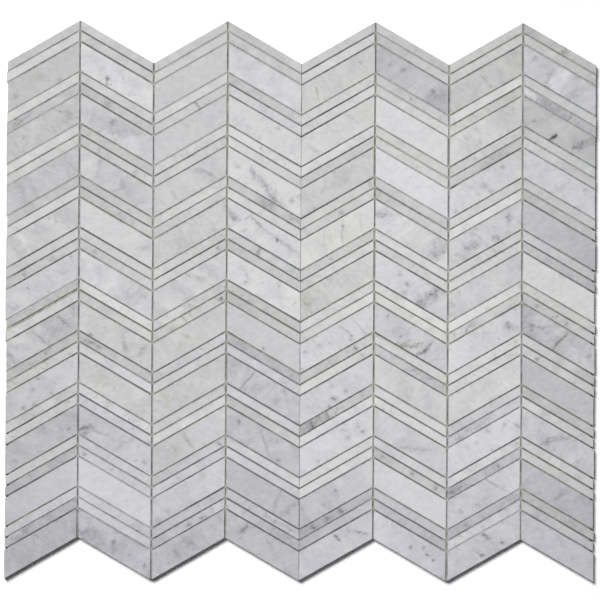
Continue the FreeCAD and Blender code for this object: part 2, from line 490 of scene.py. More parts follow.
        stroke(0.43, 0.27, 0.50, 0.50, 1.5, 0.28), spot(0.56, 0.82, 1.6, 0.26), spot(0.17, 0.40, 1.6, 0.16),
    ],
    (7, 2): [
        spot(0.36, 0.17, 1.7, 0.3), spot(0.87, 0.26, 1.7, 0.32), stroke(0.42, 0.65, 0.44, 0.82, 1.2, 0.25),
        spot(0.69, 0.90, 1.6, 0.3),
    ],
    (7, 3): [
        spot(0.48, 0.52, 3.2, 0.34), spot(0.74, 0.24, 2, 0.4), spot(0.58, 0.84, 2.8, 0.4),
        spot(0.39, 0.74, 2.4, 0.3), spot(0.08, 0.87, 2.4, 0.35), spot(0.19, 0.71, 2, 0.3),
    ],
    (7, 4): [
        spot(0.82, 0.37, 3.4, 0.6), spot(0.35, 0.66, 4.5, 0.42), spot(0.20, 0.41, 3, 0.25),
        spot(0.63, 0.80, 3, 0.36), spot(0.25, 0.55, 3, 0.25),
    ],
    (7, 5): [spot(0.06, 0.45, 2.4, 0.26), spot(0.14, 0.16, 2.2, 0.24), spot(0.02, 0.76, 2, 0.26)],
    (7, 6): [
        spot(0.82, 0.46, 3.2, 0.62), spot(0.92, 0.68, 3.5, 0.3), spot(0.49, 0.29, 2.2, 0.25),
        spot(0.60, 0.09, 1.8, 0.25),
    ],
    (7, 7): [spot(0.49, 0.39, 1.3, 0.25), spot(0.74, 0.61, 1.3, 0.25), spot(0.59, 0.90, 1.6, 0.3)],
    (7, 8): [
        spot(0.78, 0.25, 2.1, 0.5), stroke(0.92, 0.46, 0.98, 0.69, 1.5, 0.5), spot(0.39, 0.38, 2, 0.32),
        spot(0.55, 0.18, 1.9, 0.35), spot(0.60, 0.95, 1.5, 0.4),
    ],
    (7, 9): [
        stroke(0.54, 0.06, 0.67, 0.45, 1.4, 0.4), stroke(0.67, 0.45, 0.86, 0.95, 1, 0.3),
        spot(0.18, 0.65, 2.5, 0.28), spot(0.43, 0.76, 1.9, 0.25),
    ],
    (7, 10): [
        stroke(0.49, 0.07, 0.58, 0.36, 1.7, 0.66), spot(0.49, 0.83, 1.9, 0.75), spot(0.75, 0.75, 2.3, 0.66),
        stroke(0.40, 0.55, 0.46, 0.78, 1.6, 0.4),
    ],
    (8, 1): [
        spot(0.15, 0.23, 2.3, 0.5), stroke(0.31, 0.95, 0.40, 0.30, 2.2, 0.3),
        stroke(0.41, 1.08, 0.60, -0.08, 5.5, -0.34), stroke(0.66, 0.90, 0.76, 0.10, 4, 0.2),
    ],
    (8, 2): [
        stroke(0.35, 0.98, 0.42, 0.82, 0.9, 1.1), stroke(0.42, 0.80, 0.45, 0.73, 1.6, 1.9),
        stroke(0.69, 0.82, 0.74, 0.68, 2.2, 0.5), stroke(0.82, 0.48, 0.97, 0.12, 3.6, 0.36),
        spot(0.80, 0.62, 2.4, 0.25), spot(0.15, 0.66, 2.1, 0.36),
    ],
    (8, 3): [
        spot(0.86, 0.22, 2.1, 0.36), stroke(0.48, 0.62, 0.55, 0.50, 3, 0.22), spot(0.30, 0.42, 5, 0.14),
    ],
    (8, 5): [spot(0.13, 0.75, 2, 0.24)],
    (8, 6): [
        stroke(0.42, 0.97, 0.50, 0.55, 1.4, 0.4), stroke(0.50, 0.55, 0.64, 0.07, 1.4, 0.4),
        stroke(0.02, 0.60, 0.26, 0.50, 1.2, 0.36), stroke(0.26, 0.50, 0.37, 0.22, 1.2, 0.3),
        spot(0.13, 0.72, 1.6, 0.4), spot(0.93, 0.46, 2.1, 0.4),
    ],
    (8, 7): [spot(0.73, 0.84, 1.5, 0.25)],
    (8, 8): [
        stroke(0.29, 0.91, 0.38, 0.57, 2.6, 0.38), stroke(0.38, 0.57, 0.62, 0.10, 2.8, 0.36),
        spot(0.45, 0.80, 1.7, 0.4),
    ],
    (8, 9): [stroke(0.45, 0.84, 0.56, 0.34, 1.4, 0.22), spot(0.25, 0.79, 1.6, 0.26)],
}
UPPER_STRIP_SMOKE = {
    (6, 1): [spot(0.55, 0.5, 2, 0.35)],
    (8, 1): [spot(0.55, 0.5, 4, 0.3)],
    (6, 2): [spot(0.48, 0.5, 1.8, 0.4)],
    (4, 3): [spot(0.45, 0.5, 1.6, 0.5)],
    (7, 3): [spot(0.35, 0.5, 2.2, 0.35), spot(0.90, 0.5, 2, 0.35)],
    (4, 4): [stroke(0.47, 0.5, 0.60, 0.5, 3.5, 0.36), stroke(0.88, 0.5, 0.97, 0.5, 3, 0.5)],
    (5, 4): [spot(0.94, 0.5, 2, 0.4)],
    (4, 5): [stroke(0.40, 0.95, 0.46, 0.05, 1.9, 0.7)],
    (5, 5): [spot(0.42, 0.5, 2, 0.4)],
    (2, 7): [stroke(0.05, 0.6, 0.30, 0.3, 2.2, 0.5)],
    (5, 7): [spot(0.65, 0.5, 1.6, 0.45), spot(0.77, 0.5, 1.8, 0.7)],
    (7, 7): [spot(0.93, 0.5, 2, 0.4)],
    (2, 8): [spot(0.40, 0.5, 3, 0.35)],
    (5, 8): [
        stroke(0.16, 0.2, 0.19, 0.95, 1.5, 0.5), stroke(0.36, 0.1, 0.39, 0.9, 1.6, 0.6),
        stroke(0.51, 0.2, 0.49, 0.9, 1.3, 0.4), stroke(0.06, 0.5, 0.36, 0.5, 4.5, 0.3),
        spot(0.58, 0.5, 1.4, 0.3),
    ],
    (3, 9): [stroke(0.90, 0.3, 0.96, 0.8, 1.4, 0.6)],
    (7, 9): [spot(0.95, 0.5, 2, 0.4)],
    (4, 10): [stroke(0.55, 0.6, 0.95, 0.4, 2.4, 0.4)],
    (5, 10): [spot(0.20, 0.5, 2.6, 0.6), spot(0.38, 0.5, 2.6, 0.5), spot(0.56, 0.5, 2.4, 0.6)],
    (7, 10): [spot(0.25, 0.5, 2.6, 0.3), stroke(0.60, 0.5, 0.95, 0.5, 3, 0.25)],
}
LOWER_STRIP_SMOKE = {
    (1, 2): [stroke(0.05, 0.6, 0.25, 0.4, 2.6, 0.4)],
    (2, 2): [spot(0.38, 0.5, 4, 0.35)],
    (3, 2): [stroke(0.56, 0.05, 0.62, 0.95, 1.1, 0.6)],
    (8, 2): [
        stroke(0.24, 0.5, 0.44, 0.5, 4, 0.32), spot(0.63, 0.5, 3.4, 0.3),
        stroke(0, 0.5, 0.14, 0.5, 4, -0.4),
    ],
    (2, 3): [spot(0.25, 0.5, 3, 0.25), spot(0.75, 0.5, 3, 0.3)],
    (5, 4): [spot(0.55, 0.5, 2.4, 0.3)],
    (1, 5): [spot(0.25, 0.5, 2.4, 0.35), spot(0.65, 0.5, 2.4, 0.35)],
    (2, 5): [spot(0.20, 0.5, 2.4, 0.4)],
    (3, 5): [spot(0.90, 0.5, 2.2, 0.4)],
    (3, 6): [spot(0.94, 0.5, 2.2, 0.7), stroke(0.40, 0.1, 0.46, 0.9, 1.5, 0.28)],
    (7, 6): [stroke(0.20, 0.7, 0.34, 0.3, 1.4, 0.45), spot(0.08, 0.5, 1.6, 0.5)],
    (8, 6): [spot(0.20, 0.5, 2, 0.4), stroke(0.42, 0.7, 0.48, 0.3, 1.6, 0.4), spot(0.60, 0.5, 2, 0.4)],
    (5, 7): [spot(0.85, 0.5, 2.4, 0.5)],
    (8, 7): [spot(0.21, 0.5, 1.8, 0.6)],
    (7, 8): [stroke(0.12, 0.6, 0.55, 0.4, 3, 0.3)],
    (2, 9): [spot(0.08, 0.5, 1.8, 0.7), spot(0.45, 0.5, 1.8, 0.4)],
    (6, 9): [spot(0.53, 0.5, 2, 0.75), spot(0.85, 0.4, 2, 0.45), spot(0.12, 0.5, 2, 0.35)],
    (7, 9): [stroke(0.03, 0.5, 0.18, 0.5, 2.6, 0.5), spot(0.70, 0.5, 1.8, 0.5)],
    (1, 10): [stroke(0.08, 0.7, 0.36, 0.3, 2.8, 0.35)],
    (3, 10): [
        spot(0.50, 0.5, 2.2, 0.45), stroke(0.66, 0.7, 0.74, 0.9, 2, 0.5), spot(0.82, 0.4, 2, 0.25),
    ],
    (4, 10): [spot(0.25, 0.5, 2.4, 0.26), stroke(0.55, 0.5, 0.90, 0.5, 3, 0.2)],
}
SMOKE = {"field": FIELD_SMOKE, "upper_strip": UPPER_STRIP_SMOKE, "lower_strip": LOWER_STRIP_SMOKE}

# Olive and ochre stains
FIELD_STAINS = {
    (1, 1): [spot(0.42, 0.40, 4, 0.3)],
    (5, 1): [spot(0.80, 0.35, 2, 0.8), stroke(0.20, 0.35, 0.21, 0.80, 1.6, 0.6)],
    (7, 1): [spot(0.90, 0.50, 8, 0.35), spot(0.90, 0.57, 1.2, 0.5)],
    (5, 2): [spot(0.87, 0.40, 6, 0.35)],
    (7, 2): [stroke(0.76, 0.40, 0.85, 0.75, 1.5, 0.35)],
    (3, 4): [spot(0.35, 0.60, 6, 0.3)],
    (5, 4): [spot(0.30, 0.58, 1.6, 0.5), stroke(0.20, 0.50, 0.80, 0.50, 13, 0.22)],
    (2, 5): [spot(0.05, 0.31, 3, 0.4)],
    (3, 5): [stroke(0.47, 0.10, 0.70, 0.60, 2, 0.4)],
    (5, 5): [stroke(0.04, 0.30, 0.12, 0.62, 2.6, 1.4), spot(0.24, 0.25, 3, 0.6)],
    (7, 5): [spot(0.06, 0.50, 3, 0.45), spot(0.16, 0.20, 3, 0.3)],
    (3, 6): [stroke(0.42, 0.25, 0.34, 0.75, 2.4, 0.9), stroke(0.44, 0.35, 0.66, 0.85, 1.8, 0.7)],
    (4, 6): [spot(0.49, 0.60, 1.6, 0.3)],
    (6, 6): [stroke(0.32, 0.96, 0.50, 0.74, 2.2, 1.0), stroke(0.50, 0.74, 0.66, 0.50, 2, 0.8)],
    (8, 6): [stroke(0.42, 0.97, 0.50, 0.55, 1.6, 0.9), stroke(0.50, 0.55, 0.64, 0.07, 1.6, 0.9)],
    (2, 7): [spot(0.30, 0.50, 8, 0.35)],
    (3, 7): [stroke(0.14, 0.10, 0.22, 0.65, 2.2, 0.9)],
    (4, 7): [stroke(0.19, 0.92, 0.36, 0.13, 1.4, 0.8)],
    (3, 8): [stroke(0.30, 0.30, 0.33, 0.80, 2.6, 0.7), stroke(0.43, 0.20, 0.50, 0.50, 1.5, 0.5)],
    (1, 9): [spot(0.20, 0.34, 3, 0.3)],
    (3, 9): [spot(0.67, 0.13, 3, 0.7), spot(0.22, 0.75, 3, 0.6)],
    (1, 10): [stroke(0.64, 0.28, 0.72, 0.85, 1.6, 0.3)],
    (8, 10): [spot(0.95, 0.40, 3, 0.4)],
}
UPPER_STRIP_STAINS = {
    (8, 1): [spot(0.55, 0.5, 4, 0.4)],
    (7, 7): [spot(0.93, 0.5, 2, 0.5)],
    (7, 9): [spot(0.29, 0.5, 2, 0.6)],
}
LOWER_STRIP_STAINS = {
    (3, 2): [stroke(0.56, 0.05, 0.62, 0.95, 1.2, 0.5)],
    (3, 6): [stroke(0.40, 0.1, 0.46, 0.9, 1.5, 1.1)],
}
STAINS = {"field": FIELD_STAINS, "upper_strip": UPPER_STRIP_STAINS, "lower_strip": LOWER_STRIP_STAINS}

# Joints by column and rows: where the adhesive is pressed up near the face or half as far, and its tints
PRESSED_UP = {1: (1, 2, 3), 2: (9, 10), 3: (1, 2), 4: (1,), 6: (1, 2, 3), 7: (10,), 8: (1, 2, 3)}
HALF_PRESSED_UP = {3: (3, 4), 4: (2, 3), 6: (4,), 8: (4,)}
OCHRE_JOINTS = {8: (9,)}
OLIVE_JOINTS = {
    1: (6, 7, 8, 9), 2: (1, 2, 3, 4, 5, 6, 7), 3: (5, 6, 7, 8), 4: (5, 6), 5: (4, 5, 6, 7), 6: (6, 7, 8, 9),
    7: (1, 2, 3, 4, 5, 6), 8: (6, 7, 8, 10),
}
# Painted shade: the slate tint at these joints stands for bare marble walls seen in shadow
SHADED_SLATE_JOINTS = {2: (8, 9, 10), 4: (9, 10), 5: (10,), 7: (8, 9, 10)}
JOINT_TINTS = ((1.2, OCHRE_JOINTS), (0.8, OLIVE_JOINTS), (0.05, SHADED_SLATE_JOINTS))

# Warmth of the upright joints from left to right
UPRIGHT_WARMTH = (0.2, 0.4, 0.8, 0.4, 0.8, 0.6, 0.5)

# How many rows from the top have joints filled out to the sheet's sides
FILLED_LEFT_ROWS = 7
FILLED_RIGHT_ROWS = 3

# Strips laid above their place
NUDGED_UP = {(1, 6, "upper_strip"): 0.8 * MM, (2, 6, "upper_strip"): 0.12 * MM}


def solids_of(node):
    """Corner points of each solid in a CAD node, from the top of the sheet down and from left to right."""
    welded = bmesh.new()
    welded.from_mesh(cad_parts[node].data)
    bmesh.ops.remove_doubles(welded, verts=welded.verts, dist=WELD)
    waiting = set(welded.verts)
    solids = []
    while waiting:
        grown = [waiting.pop()]
        for vertex in grown:
            for edge in vertex.link_edges:
                other = edge.other_vert(vertex)
                if other in waiting:
                    waiting.remove(other)
                    grown.append(other)
        solids.append(np.array([vertex.co for vertex in grown]))
    welded.free()
    middles = [(points.min(0) + points.max(0)) / 2 for points in solids]
    order = sorted(range(len(solids)), key=lambda i: (-round(middles[i][1], 6), round(middles[i][0], 6)))
    return [solids[i] for i in order]


def smooth_noise(draw, count, reach):
    """A wandering line of count values about 0, with a spread of 1, smooth over reach steps."""
    window = np.hanning(2 * reach + 3)
    raw = draw.normal(0, 1, count + len(window) - 1)
    return np.convolve(raw, window / math.sqrt((window ** 2).sum()), mode="valid")


# Meshes

def make_piece(name, parts, material, nodes):
    """Joins parts into one piece that stands for CAD nodes.

    A part is its points, its faces and the values at its points. Faces with more than four corners are the
    flat ends of a solid, and the rest are smooth up to sharp edges.
    """
    points = []
    faces = []
    start = 0
    for part_points, part_faces, _ in parts:
        points.append(part_points)
        faces += [[start + corner for corner in face] for face in part_faces]
        start += len(part_points)
    mesh = bpy.data.meshes.new(name)
    mesh.from_pydata(np.concatenate(points).tolist(), [], faces)
    mesh.polygons.foreach_set("use_smooth", [len(face) == 4 for face in faces])
    mesh.set_sharp_from_angle(angle=SHARP_EDGE)
    for value_name in parts[0][2]:
        values = np.concatenate([part[2][value_name] for part in parts]).astype(np.float32)
        kind, field = ("FLOAT", "value") if values.ndim == 1 else ("FLOAT_VECTOR", "vector")
        mesh.attributes.new(value_name, kind, "POINT").data.foreach_set(field, values.ravel())
    mesh.materials.append(material)
    piece = bpy.data.objects.new(name, mesh)
    bpy.context.scene.collection.objects.link(piece)
    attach(piece, BODY)
    if nodes:
        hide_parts(*nodes)


def stacked_rings(rings):
    """Points and faces of a closed solid through rings of equal count, capped at both ends."""
    count = rings.shape[1]
    faces = [list(range(count))[::-1]]
    for level in range(len(rings) - 1):
        for i in range(count):
            following = (i + 1) % count
            low = level * count
            faces.append([low + i, low + following, low + count + following, low + count + i])
    top = (len(rings) - 1) * count
    faces.append(list(range(top, top + count)))
    return rings.reshape(-1, 3), faces


# Marble chips

@dataclass
class Chip:
    """A marble chip as it lies, with the corners of its foot anticlockwise from the lower left."""

    column: int
    row: int
    kind: str
    corners: np.ndarray
    foot: float
    face: float

    def place(self):
        """Column and row, by which the lists above name a chip of its kind."""
        return self.column, self.row

    def draw(self, job):
        """Random numbers that belong to this chip and this job alone."""
        return np.random.default_rng([SEED, job, self.column, self.row, KINDS.index(self.kind)])

    def along(self):
        """Direction of the long edges, from left to right."""
        run = self.corners[1] - self.corners[0]
        return run / np.linalg.norm(run)

    def low_down(self, row):
        """0 from the top of the sheet down to a row, rising to 1 at the bottom row."""
        return max(0, self.row - row) / (ROWS - row)


def read_chip(column, row, kind, points):
    """A chip in its place, from the corner points of its solid."""
    low = points[:, 2].min()
    foot = points[points[:, 2] < low + WELD][:, :2]
    foot = foot[np.argsort(foot[:, 0])]
    left = foot[:2][np.argsort(foot[:2, 1])]
    right = foot[2:][np.argsort(foot[2:, 1])]
    corners = np.array([left[0], right[0], right[1], left[1]])
    return Chip(column, row, kind, corners, low, points[:, 2].max())


def centre_end(draw):
    """How far a chip's end goes out to close the sheet's middle joint, a little less on some."""
    return CENTRE_CLOSING * (1 - CENTRE_SLACK * draw.uniform(0, 1) ** 3)


def lay_by_hand(chip):
    """Moves a chip a little from its place, its long edges in, and its two ends in or out."""
    draw = chip.draw(LAYING)
    middle = chip.corners.mean(0)
    turn = draw.normal(0, LAY_TURN)
    from_middle = chip.corners - middle
    turned = from_middle + turn * np.column_stack([-from_middle[:, 1], from_middle[:, 0]])
    chip.corners = middle + turned + draw.normal(0, LAY_SHIFT, 2)
    chip.corners[:, 1] += NUDGED_UP.get((chip.column, chip.row, chip.kind), 0)
    left_end, right_end = draw.normal(-UNDER_LENGTH, END_SCATTER, 2)
    if chip.column == 1:
        left_end = -draw.uniform(0, SIDE_SCATTER)
    if chip.column == COLUMNS:
        right_end = -draw.uniform(0, SIDE_SCATTER)
    if chip.column == LEFT_OF_MIDDLE:
        right_end = centre_end(draw)
    if chip.column == RIGHT_OF_MIDDLE:
        left_end = centre_end(draw)
    along = chip.along()
    chip.corners[[0, 1], 1] += UNDER_WIDTH
    chip.corners[[2, 3], 1] -= UNDER_WIDTH
    chip.corners[[0, 3]] -= left_end * along
    chip.corners[[1, 2]] += right_end * along
    chip.face -= draw.uniform(0, LIPPAGE)


def column_chips(column):
    """The chips of a column from the top down, as they were laid."""
    chips = []
    for place, points in enumerate(solids_of(f"column_{column}_strip_chips")):
        kind = ("upper_strip", "lower_strip")[place % 2]
        chips.append(read_chip(column, place // 2 + 1, kind, points))
    for place, points in enumerate(solids_of(f"column_{column}_field_chips")):
        chips.append(read_chip(column, place + 1, "field", points))
    chips.sort(key=lambda chip: -chip.corners[:, 1].mean())
    for chip in chips:
        lay_by_hand(chip)
    return chips


def chip_outline(chip):
    """Points round a chip's foot with the way in from each, and which of them are corners."""
    outline = []
    inward = []
    corner_places = []
    edges = np.roll(chip.corners, -1, 0) - chip.corners
    lengths = np.linalg.norm(edges, axis=1)
    normals = np.column_stack([-edges[:, 1], edges[:, 0]]) / lengths[:, None]
    for i in range(4):
        steps = max(2, round(lengths[i] / EDGE_STEP))
        corner_places.append(len(outline))
        mitre = (normals[i - 1] + normals[i]) / (1 + normals[i - 1] @ normals[i])
        for step in range(steps):
            outline.append(chip.corners[i] + edges[i] * step / steps)
            inward.append(normals[i] if step else mitre)
    return np.array(outline), np.array(inward), corner_places


def chip_solid(chip):
    """A chip's closed mesh with how bruised it is: sawn sides, a worn arris and a flat honed face."""
    draw = chip.draw(CUTTING)
    outline, inward, corner_places = chip_outline(chip)
    count = len(outline)
    outline = outline + inward * (SAW_WANDER * smooth_noise(draw, count, SAW_WANDER_STEPS))[:, None]
    wear = ARRIS * (1 + ARRIS_WEAR * smooth_noise(draw, count, ARRIS_WEAR_STEPS)).clip(LEAST_WEAR, None)
    wear[corner_places] += draw.uniform(0, CORNER_WEAR, 4)
    for place in draw.integers(0, count, draw.poisson(NICKS_PER_CHIP)):
        wear[place] += draw.uniform(0, NICK_DEPTH)
    tilt = draw.normal(0, LAY_TILT, 2)
    middle = chip.corners.mean(0)

    def face_height(plan):
        """Height of the honed face over points in plan, as the chip's tilt has it."""
        return chip.face + (plan - middle) @ tilt - np.abs(tilt).sum() * EDGE_STEP

    rings = [np.column_stack([outline, np.full(count, chip.foot)])]
    for angle in ARRIS_ANGLES:
        plan = outline + inward * (wear * (1 - math.cos(angle)))[:, None]
        rings.append(np.column_stack([plan, face_height(plan) - wear * (1 - math.sin(angle))]))
    plan = outline + inward * (wear + BRUISED_EDGE)[:, None]
    rings.append(np.column_stack([plan, face_height(plan)]))
    bruised = np.repeat([0.0] + [1.0] * len(ARRIS_ANGLES) + [0.0], count)
    points, faces = stacked_rings(np.array(rings))
    return points, faces, bruised


def bedding_turn(chip):
    """Angle of the line across the stone's bedding, which leans the same way in all chips of a column."""
    along = chip.along()
    lean = 1 if chip.column % 2 else -1
    scatter = chip.draw(BEDDING).normal(0, BEDDING_SCATTER)
    return math.atan2(along[1], along[0]) + lean * BEDDING_LEAN + scatter


def slab_places(chip, points):
    """Where a chip's points lay in the slab it was sawn from, in millimetres, with X across the bedding."""
    turn = bedding_turn(chip)
    local = (points - np.append(chip.corners.mean(0), chip.foot)) / MM
    across_bed = local[:, 0] * math.cos(turn) + local[:, 1] * math.sin(turn)
    along_bed = local[:, 1] * math.cos(turn) - local[:, 0] * math.sin(turn)
    place_in_slab = chip.draw(SLAB).uniform(-HALF_SLAB, HALF_SLAB, 3)
    return np.column_stack([across_bed, along_bed, local[:, 2]]) + place_in_slab


def mark_places(chip, points, mark):
    """Places of points in a mark's own frame, 1 at its rim, with its depth as a third number."""
    along, down, to_along, to_down, width, depth = mark
    upper_left = chip.corners[3]
    run = chip.corners[2] - upper_left
    drop = chip.corners[0] - upper_left
    start = upper_left + along * run + down * drop
    finish = upper_left + to_along * run + to_down * drop
    reach = np.linalg.norm(finish - start)
    if reach > 0:
        way = (finish - start) / reach
    else:
        turn = bedding_turn(chip)
        way = np.array([-math.sin(turn), math.cos(turn)])
        reach = SPOT_STRETCH * width * MM
    from_middle = points[:, :2] - (start + finish) / 2
    half_width = width * MM / 2
    lengthwise = from_middle @ way / (reach / 2 + half_width)
    sideways = from_middle @ np.array([-way[1], way[0]]) / half_width
    return np.column_stack([lengthwise, sideways, np.full(len(points), depth)])


def chip_shade(chip):
    """Grey of a chip's stone: that of its word, or a middle grey with painted shade low down and at the
    sides.
    """
    draw = chip.draw(SHADE)
    for word, places in CHIP_SHADES[chip.kind].items():
        if chip.place() in places:
            return draw.normal(SHADES[word], SHADE_SCATTER)
    # Painted shade for light that falls off at the sheet's sides and low down
    outer = chip.column in (1, COLUMNS)
    plain = SHADES["grey"] + OUTER_PAINTED_SHADE * outer + LOW_PAINTED_SHADE * chip.low_down(LOW_PAINTED_SHADE_ROW)
    return draw.normal(plain, PLAIN_SHADE_SCATTER)


def end_darkening(chip, points):
    """What is added to a chip's grey from one end to the other, none in its middle."""
    rise = (chip.place() in DARKER_RIGHT[chip.kind]) - (chip.place() in DARKER_LEFT[chip.kind])
    run = np.linalg.norm(chip.corners[1] - chip.corners[0])
    return rise * END_DARKENING * ((points[:, :2] - chip.corners.mean(0)) @ chip.along()) / run


def stone_look(chip):
    """How grey, lilac, streaked, cloudy and flecked a chip's stone is."""
    draw = chip.draw(LOOK)
    place = chip.place()
    field = chip.kind == "field"
    if field:
        lilac = FIELD_LILAC + FIELD_LILAC_LOW * chip.low_down(FIELD_LILAC_ROW)
    else:
        lilac = STRIP_LILAC + STRIP_LILAC_LOW * chip.low_down(STRIP_LILAC_ROW)
    lilac += draw.normal(0, LILAC_SCATTER)
    if place in LILAC_CHIPS[chip.kind]:
        lilac += MORE_LILAC
    if place in CREAM_CHIPS[chip.kind]:
        lilac -= MORE_CREAM
    streaks = draw.uniform(*STREAKS)
    cloud = draw.uniform(*CLOUD)
    if field and place in STREAKED_FIELDS:
        streaks = STREAKED
    if field and place in CLOUDY_FIELDS:
        cloud = CLOUDY
    if field and place in EVEN_FIELDS:
        streaks = EVEN_STREAKS
        cloud = EVEN_CLOUD
    return {
        "shade": chip_shade(chip),
        "lilac": lilac,
        "streaks": streaks,
        "cloud": cloud,
        "flecks": max(0, draw.normal(FLECKS, FLECK_SCATTER)),
    }


def most_marks(marks):
    """The largest number of marks on one chip."""
    return max(len(placed) for chips in marks.values() for placed in chips.values())


MARKS = {"smoke": SMOKE, "stain": STAINS}
MARK_SLOTS = {name: most_marks(marks) for name, marks in MARKS.items()}


def chip_part(chip):
    """Points and faces of a chip with the values that its finish reads."""
    points, faces, bruised = chip_solid(chip)
    values = {name: np.full(len(points), value) for name, value in stone_look(chip).items()}
    values["shade"] += end_darkening(chip, points)
    values["bruised"] = bruised
    values["slab"] = slab_places(chip, points)
    for name, marks in MARKS.items():
        placed = marks[chip.kind].get(chip.place(), [])
        for slot in range(MARK_SLOTS[name]):
            mark = placed[slot] if slot < len(placed) else spot(0, 0, 1, 0)
            values[f"{name}_{slot + 1}"] = mark_places(chip, points, mark)
    return points, faces, values


# Adhesive in the joints

def bead(wall_a, wall_b, depth, face, foot, warmth):
    """A bead of adhesive between two chip walls, its hollow top at depth under the face all along."""
    lap = wall_b - wall_a
    lap = lap / np.linalg.norm(lap, axis=1)[:, None] * BEAD_LAP
    wall_a = wall_a - lap
    wall_b = wall_b + lap
    middle = (wall_a + wall_b) / 2
    top = face - depth
    rim = np.minimum(top + BEAD_MENISCUS, face - SHALLOWEST_BEAD)
    floor = np.full(len(top), foot)
    section = [
        np.column_stack([wall_a, floor]),
        np.column_stack([wall_b, floor]),
        np.column_stack([wall_b, rim]),
        np.column_stack([middle, top]),
        np.column_stack([wall_a, rim]),
    ]
    points, faces = stacked_rings(np.stack(section, axis=1))
    values = {
        "depth": (face - points[:, 2]) / MM,
        "warmth": np.repeat(warmth, len(section)),
    }
    return points, faces, values


def bead_depth(draw, length, level, crossings):
    """Depth of a bead along a joint, and how near each place is to a crossing.

    The depth wanders about its level, and comes up in a dot at each crossing.
    """
    count = round(length / BEAD_STEP) + 1
    place = np.linspace(0, length, count)
    swell = smooth_noise(draw, count, round(BEAD_SWELL_LENGTH / BEAD_STEP))
    depth = level * (1 + BEAD_SWELL * swell) + draw.normal(0, BEAD_ROUGHNESS, count)
    nearness = np.zeros(count)
    for crossing in crossings:
        crest = draw.uniform(*DOT_CREST)
        near = np.exp(-((place - crossing) / DOT_REACH) ** 2)
        depth = depth + (crest - depth) * near
        nearness = np.maximum(nearness, near)
    return depth.clip(SHALLOWEST_BEAD, None), nearness


def joint_level(draw, chip):
    """Depth that the adhesive under a chip was pressed up to."""
    levels = ODD_COLUMN_LEVELS if chip.column % 2 else EVEN_COLUMN_LEVELS
    if chip.row in PRESSED_UP.get(chip.column, ()):
        return draw.uniform(*levels["pressed_up"])
    if chip.row in HALF_PRESSED_UP.get(chip.column, ()):
        return draw.uniform(*levels["half_up"])
    return draw.uniform(*levels["low"])


def joint_warmth(draw, chip):
    """Warmth of the adhesive under a chip."""
    for warmth, joints in JOINT_TINTS:
        if chip.row in joints.get(chip.column, ()):
            return draw.normal(warmth, WARMTH_SCATTER)
    return draw.normal(PLAIN_WARMTH, WARMTH_SCATTER)


def slanted_bead(upper, lower, joint):
    """Bead between a chip and the next one down its column.

    In the sheet's upper rows it goes out to the sides, wiped full at the left one. In the lower rows it
    stops short of them.
    """
    draw = np.random.default_rng([SEED, SLANTED_BEADS, upper.column, joint])
    wall_a, wall_a_end = upper.corners[0], upper.corners[1]
    wall_b, wall_b_end = lower.corners[3], lower.corners[2]
    length = np.linalg.norm(wall_a_end - wall_a)
    open_left = upper.column == 1 and upper.row > FILLED_LEFT_ROWS
    open_right = upper.column == COLUMNS and upper.row > FILLED_RIGHT_ROWS
    first = OPEN_END if open_left else 0
    last = length - OPEN_END if open_right else length
    crossings = []
    if upper.column == 1 and not open_left:
        crossings += [0, WIPED_END / 2, WIPED_END]
    if upper.column not in (1, RIGHT_OF_MIDDLE):
        crossings.append(0)
    if upper.column not in (LEFT_OF_MIDDLE, COLUMNS):
        crossings.append(last - first)
    level = joint_level(draw, upper)
    depth, nearness = bead_depth(draw, last - first, level, crossings)
    share = np.linspace(first, last, len(depth))[:, None] / length
    warmth = joint_warmth(draw, upper) + DOT_WARMTH * nearness
    return bead(
        wall_b + share * (wall_b_end - wall_b),
        wall_a + share * (wall_a_end - wall_a),
        depth, upper.face, upper.foot, warmth,
    )


def upright_bead(left, right, number):
    """Bead between two columns, with dots where slanted joints meet it, but for the tight middle joint."""
    draw = np.random.default_rng([SEED, UPRIGHT_BEADS, number])
    x_left = np.median([chip.corners[1][0] for chip in left])
    x_right = np.median([chip.corners[0][0] for chip in right])
    low = left[-1].corners[1][1]
    high = left[0].corners[2][1]
    crossings = []
    if left[0].column != LEFT_OF_MIDDLE:
        for upper, lower in zip(left, left[1:]):
            crossings.append((upper.corners[1][1] + lower.corners[2][1]) / 2 - low)
    level = draw.uniform(*UPRIGHT_LEVELS)
    depth, nearness = bead_depth(draw, high - low, level, crossings)
    y = np.linspace(low, high, len(depth))
    wander = UPRIGHT_WARMTH_WANDER * smooth_noise(draw, len(depth), UPRIGHT_WANDER_STEPS)
    warmth = UPRIGHT_WARMTH[number] + wander + DOT_WARMTH * nearness
    return bead(
        np.column_stack([np.full(len(y), x_left), y]),
        np.column_stack([np.full(len(y), x_right), y]),
        depth, left[0].face, left[0].foot, warmth,
    )


# Woven mesh

